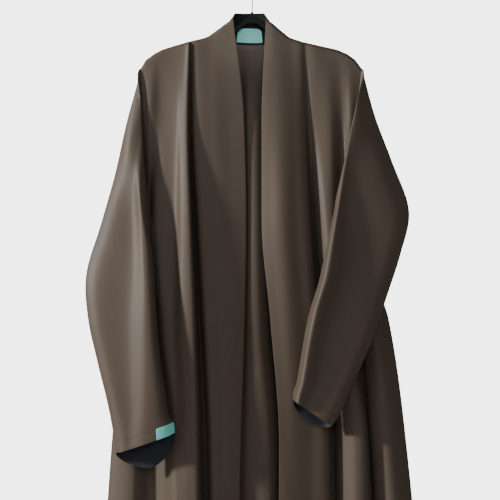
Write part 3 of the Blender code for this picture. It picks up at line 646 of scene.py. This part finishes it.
def woven_material(name, colour, other, rough, threads, sheen=0.02):
    """A smooth woven cloth: two fine sets of threads across each other."""
    material = bpy.data.materials.new(name)
    tree, shader, add = nodes_of(material)
    cloth = add("ShaderNodeUVMap", uv_map="cloth").outputs["UV"]
    sets = []
    for direction in ("X", "Y"):
        wave = add("ShaderNodeTexWave", {"Vector": cloth, "Scale": threads, "Distortion": 0.6,
                                         "Detail Scale": 2.0}, bands_direction=direction)
        sets.append(wave.outputs["Fac"])
    weave = add("ShaderNodeMath", {0: sets[0], 1: sets[1]}, operation="MULTIPLY")
    soft = add("ShaderNodeTexNoise", {"Vector": cloth, "Scale": 160.0, "Detail": 4.0})
    mixed = add("ShaderNodeMath", {0: weave.outputs[0], 1: soft.outputs[0]}, operation="MULTIPLY")
    tint = add("ShaderNodeMixRGB", {"Fac": mixed.outputs[0], "Color1": (*colour, 1),
                                    "Color2": (*other, 1)})
    tree.links.new(tint.outputs[0], shader.inputs["Base Color"])
    bump = add("ShaderNodeBump", {"Height": weave.outputs[0], "Strength": 0.3,
                                  "Distance": 0.0001})
    tree.links.new(bump.outputs[0], shader.inputs["Normal"])
    shader.inputs["Roughness"].default_value = rough
    shader.inputs["Sheen Weight"].default_value = sheen
    shader.inputs["Sheen Roughness"].default_value = 0.4
    return material


def plastic_material():
    """Black moulded plastic with a faint orange-peel skin."""
    material = bpy.data.materials.new("black_plastic")
    tree, shader, add = nodes_of(material)
    place = add("ShaderNodeTexCoord").outputs["Object"]
    skin = add("ShaderNodeTexNoise", {"Vector": place, "Scale": 700.0, "Detail": 2.0})
    wear = add("ShaderNodeTexNoise", {"Vector": place, "Scale": 40.0, "Detail": 4.0})
    tint = add("ShaderNodeMixRGB", {"Fac": wear.outputs[0], "Color1": (0.004, 0.004, 0.0045, 1),
                                    "Color2": (0.008, 0.008, 0.0085, 1)})
    tree.links.new(tint.outputs[0], shader.inputs["Base Color"])
    rough = add("ShaderNodeMapRange", {"Value": wear.outputs[0], "To Min": 0.5, "To Max": 0.65})
    tree.links.new(rough.outputs[0], shader.inputs["Roughness"])
    bump = add("ShaderNodeBump", {"Height": skin.outputs[0], "Strength": 0.15,
                                  "Distance": 0.0002})
    tree.links.new(bump.outputs[0], shader.inputs["Normal"])
    shader.inputs["Specular IOR Level"].default_value = 0.12
    return material


def steel_material():
    """Plated wire with fine drawn lines."""
    material = bpy.data.materials.new("plated_steel")
    tree, shader, add = nodes_of(material)
    place = add("ShaderNodeTexCoord").outputs["Object"]
    marks = add("ShaderNodeTexNoise", {"Vector": place, "Scale": 260.0, "Detail": 4.0})
    tint = add("ShaderNodeMixRGB", {"Fac": marks.outputs[0], "Color1": (0.55, 0.55, 0.57, 1),
                                    "Color2": (0.68, 0.68, 0.70, 1)})
    tree.links.new(tint.outputs[0], shader.inputs["Base Color"])
    rough = add("ShaderNodeMapRange", {"Value": marks.outputs[0], "To Min": 0.2, "To Max": 0.38})
    tree.links.new(rough.outputs[0], shader.inputs["Roughness"])
    shader.inputs["Metallic"].default_value = 1.0
    return material


def patch(grid, normal, side, below, thick):
    """A grid moved out to lie on the face of the cloth below it."""
    return grid + side * normal * (below / 2 + SOLID_GAP + thick / 2)


def read_grid(grid, rows, columns):
    """The points of a grid at row and column numbers that may lie between its own."""
    low_row = np.clip(np.floor(rows).astype(int), 0, grid.shape[0] - 2)
    low_column = np.clip(np.floor(columns).astype(int), 0, grid.shape[1] - 2)
    r, c = (rows - low_row)[..., None], (columns - low_column)[..., None]
    upper = (1 - c) * grid[low_row, low_column] + c * grid[low_row, low_column + 1]
    lower = (1 - c) * grid[low_row + 1, low_column] + c * grid[low_row + 1, low_column + 1]
    return (1 - r) * upper + r * lower


crepe = crepe_material()
facing_cloth = woven_material(
    "black_cloth", (0.003, 0.003, 0.0035), (0.006, 0.006, 0.007), rough=0.9, threads=900.0)
# painted shade: dark navy cloth on the sleeves' lower inner face, standing in for the shade seen
# under the cuffs
sleeve_inside_shade = woven_material(
    "sleeve_inside_shade", (0.008, 0.011, 0.019), (0.014, 0.018, 0.030), rough=0.7, threads=900.0)
label_cloth = woven_material(
    "label_cloth", (0.20, 0.72, 0.67), (0.30, 0.86, 0.81), rough=0.45, threads=700.0, sheen=0.05)
plastic = plastic_material()
steel = steel_material()

back_lines = [fold_rows(fold, back_top(fold[1][0])) for fold in BACK_FOLDS]
right_lines = [fold_rows(fold, front_top(fold[1][0])) for fold in FRONT_RIGHT_FOLDS]
left_lines = [fold_rows(fold, front_top(fold[1][0])) for fold in FRONT_LEFT_FOLDS]
back = panel(BACK_FOLDS, back_top, (right_lines[1], left_lines[-2]))
front_right = panel(FRONT_RIGHT_FOLDS, front_top, (back_lines[1], None))
front_left = panel(FRONT_LEFT_FOLDS, front_top, (None, back_lines[-2]))

back_normal, right_normal, left_normal = (
    -normals(back, False), normals(front_right, False), normals(front_left, False)
)
meet_at_side(right_normal, 0, back_normal, 0)
meet_at_side(left_normal, -1, back_normal, -1)

cloth_back = shell("cloth_back", back, back_normal, crepe, hem_at_end=True)
cloth_front_right = shell("cloth_front_right", front_right, right_normal, crepe, hem_at_end=True)
cloth_front_left = shell("cloth_front_left", front_left, left_normal, crepe, hem_at_end=True)

right_hole = armhole_ring(front_right, 0, back, 0)
right = sleeve(right_hole, turned_ring(right_hole, -1), RIGHT_SLEEVE_ROLL, RIGHT_SLEEVE_RINGS)
out_right = normals(right, True)
cloth_sleeve_right = shell("cloth_sleeve_right", right, out_right, crepe, closed=True,
                           hem_at_end=True, inside_shade=sleeve_inside_shade)
left_hole = armhole_ring(front_left, -1, back, -1)
left = sleeve(left_hole, turned_ring(left_hole, 1), LEFT_SLEEVE_ROLL, LEFT_SLEEVE_RINGS)
out_left = -normals(left, True)
cloth_sleeve_left = shell("cloth_sleeve_left", left, out_left, crepe, closed=True,
                          hem_at_end=True, inside_shade=sleeve_inside_shade)

names = [fold[0] for fold in BACK_FOLDS]
first, last = (
    sum(fold[7] for fold in BACK_FOLDS[:names.index(name)]) * FINE_ACROSS
    for name in ("right neck point", "left neck point")
)
collar = band(back, slice(first, last + 1), np.linspace(0, 1, BAND_ROWS + 1))
collar_normal = -normals(collar, False)
cloth_collar = shell("cloth_collar", collar, collar_normal, crepe)

inside = slice(FINE_ACROSS, collar.shape[1] - FINE_ACROSS)
faced = slice(0, BAND_ROWS + 1 - SEAM_ROWS)
facing = patch(collar[faced, inside], collar_normal[faced, inside], -1, SOLID_WALL, SOLID_LINING)
facing_normal = -collar_normal[faced, inside]
neck_facing = shell("neck_facing", facing, facing_normal, facing_cloth, thick=LINING)

label_share = np.linspace(-1, 1, LABEL_COLUMNS + 1)
label_corner = LABEL_CORNER * label_share ** LABEL_CORNER_POWER
label_top = LABEL_TOP - LABEL_ARCH * label_share ** 2 - label_corner
label_down = np.linspace(0, 1, LABEL_ROWS + 1)[:, None]
label_rows = (1 - ((1 - label_down) * label_top + label_down * LABEL_BOTTOM)) * BAND_ROWS
label_columns = (
    (label_share * LABEL_WIDE + 1) / 2 * (collar.shape[1] - 1) - FINE_ACROSS
    + label_share * LABEL_SPREAD * (1 - label_down)
)
label_normal = read_grid(facing_normal, label_rows, label_columns)
label = patch(read_grid(facing, label_rows, label_columns), label_normal, 1, SOLID_LINING,
              SOLID_LINING)
neck_label_piece = shell("neck_label_bare", label, label_normal, label_cloth, thick=LINING)

cuff_end = right.shape[0] - 1
cuff_rows = np.linspace(cuff_end - FINE_SLEEVE, cuff_end, CUFF_LABEL_ROWS + 1)
cuff_columns = np.linspace(*CUFF_LABEL_LINES, CUFF_LABEL_COLUMNS + 1) * FINE_ABOVE
cuff_at = np.meshgrid(cuff_rows, cuff_columns, indexing="ij")
cuff_label_normal = read_grid(out_right, *cuff_at)
cuff_label_grid = patch(read_grid(right, *cuff_at), cuff_label_normal, 1, SOLID_WALL,
                        SOLID_LINING)
cuff_label_piece = shell("cuff_label_bare", cuff_label_grid, cuff_label_normal, label_cloth,
                         thick=LINING)

hanger_body = hanger_piece(plastic)
hook_wire = hook_piece(steel)

for piece, node, slot in (
    (cloth_back, "back", "crepe"),
    (cloth_front_right, "front_right", "crepe"),
    (cloth_front_left, "front_left", "crepe"),
    (cloth_sleeve_right, "sleeve_right", "crepe"),
    (cloth_sleeve_left, "sleeve_left", "crepe"),
    (cloth_collar, "collar", "crepe"),
    (neck_facing, "back_neck_facing", "facing"),
    (neck_label_piece, "neck_label", "label"),
    (cuff_label_piece, "cuff_label", "label"),
    (hanger_body, "hanger", "hanger"),
    (hook_wire, "hook", "hook"),
):
    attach(piece, "root")
    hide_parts(node)

camera = bpy.data.objects.new("camera", bpy.data.cameras.new("camera"))
bpy.context.scene.collection.objects.link(camera)
bpy.context.scene.camera = camera
camera.location = (EYE_ACROSS, -EYE_DISTANCE, EYE_HEIGHT)
camera.rotation_euler = (np.pi / 2, 0, 0)
camera.data.sensor_width = SENSOR
camera.data.lens = SENSOR * EYE_DISTANCE / FRAME_WIDE
camera.data.clip_end = 50


def studio_floor():
    """A plain round pale floor well below the hem."""
    white = bpy.data.materials.new("studio_white")
    white.use_nodes = True
    shader = white.node_tree.nodes["Principled BSDF"]
    shader.inputs["Base Color"].default_value = (0.86, 0.86, 0.86, 1)
    shader.inputs["Roughness"].default_value = 0.9
    turns = np.radians(np.arange(0, 360, 4))
    corners = [(FLOOR_HALF * np.cos(a), FLOOR_HALF * np.sin(a), FLOOR) for a in turns]
    mesh = bpy.data.meshes.new("studio_floor")
    mesh.from_pydata(corners, [], [tuple(range(len(corners)))])
    mesh.materials.append(white)
    piece = bpy.data.objects.new("studio_floor", mesh)
    bpy.context.scene.collection.objects.link(piece)


def aim_lamp(lamp, place, target):
    """Puts a lamp at one place, facing another, and out of the camera's sight."""
    lamp.location = place
    lamp.rotation_euler = (Vector(target) - Vector(place)).to_track_quat("-Z", "Y").to_euler()
    lamp.visible_camera = False


def area_light(name, place, target, wide, high, power, colour=(1, 1, 1)):
    """A soft rectangular light that faces a point."""
    light = bpy.data.lights.new(name, "AREA")
    light.shape = "RECTANGLE"
    light.size, light.size_y = wide, high
    light.energy = power
    light.color = colour
    lamp = bpy.data.objects.new(name, light)
    bpy.context.scene.collection.objects.link(lamp)
    aim_lamp(lamp, place, target)


studio_floor()
area_light("key", (-3.3, -1.2, 0.4), (0, 0, -0.55), 0.24, 0.34, 172, (1, 0.98, 0.96))
area_light("fill", (-1.5, -2.4, 1.3), (0, 0, -0.4), 1.0, 1.0, 15)
area_light("front_light", (0.2, -4.2, 0.5), (0, 0, -0.4), 0.8, 0.8, 24)
area_light("back_light", (-0.6, 4.4, 1.2), (0, 0, -0.7), 1.2, 1.2, 70)

neck_light = bpy.data.lights.new("neck_light", "SPOT")
neck_light.energy = 300
neck_light.spot_size = 0.024
neck_light.spot_blend = 0.6
neck_light.shadow_soft_size = 0.05
neck_lamp = bpy.data.objects.new("neck_light", neck_light)
bpy.context.scene.collection.objects.link(neck_lamp)
aim_lamp(neck_lamp, (0.0, -3.6, 0.1), (-0.003, 0.03, -0.14))

world = bpy.data.worlds.new("studio")
bpy.context.scene.world = world
world.use_nodes = True
sky = world.node_tree
soft = sky.nodes["Background"]
soft.inputs["Color"].default_value = (1, 1, 1, 1)
soft.inputs["Strength"].default_value = WORLD_SOFT
pale = sky.nodes.new("ShaderNodeBackground")
pale.inputs["Color"].default_value = (1, 1, 1, 1)
pale.inputs["Strength"].default_value = WORLD_PALE
seen = sky.nodes.new("ShaderNodeLightPath")
mix = sky.nodes.new("ShaderNodeMixShader")
sky.links.new(seen.outputs["Is Camera Ray"], mix.inputs[0])
sky.links.new(soft.outputs[0], mix.inputs[1])
sky.links.new(pale.outputs[0], mix.inputs[2])
sky.links.new(mix.outputs[0], sky.nodes["World Output"].inputs["Surface"])
